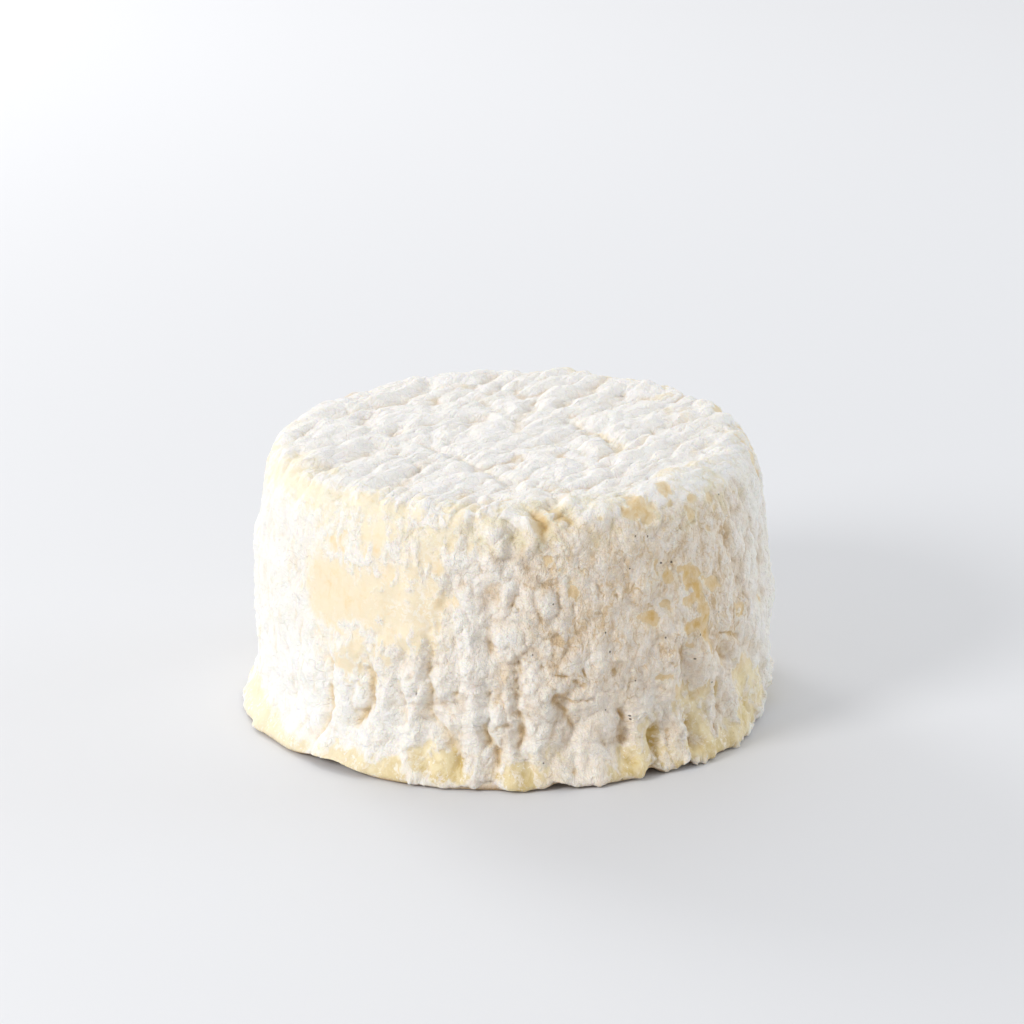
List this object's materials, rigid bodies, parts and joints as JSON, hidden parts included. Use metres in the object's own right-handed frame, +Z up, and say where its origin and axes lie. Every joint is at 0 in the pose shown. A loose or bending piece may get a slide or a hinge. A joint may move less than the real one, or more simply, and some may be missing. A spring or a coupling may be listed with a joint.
{
  "type": "cheese wheel",
  "caption": "Small round soft-ripened cheese, uncut, with a wrinkled white bloomy rind, mat marks on its top and folded sides that spread into a creamy foot.",
  "frame": {"origin": "middle of the flat underside that the wheel rests on", "axes": "+Z up through the wheel, front towards -Y, right side towards +X"},
  "size_m": [0.112, 0.1141, 0.0583],
  "materials": {
    "rind": "matt white mould bloom over cream paste"
  },
  "bodies": {
    "root": {"cheese_wheel": "rind"}
  },
  "joints": []
}
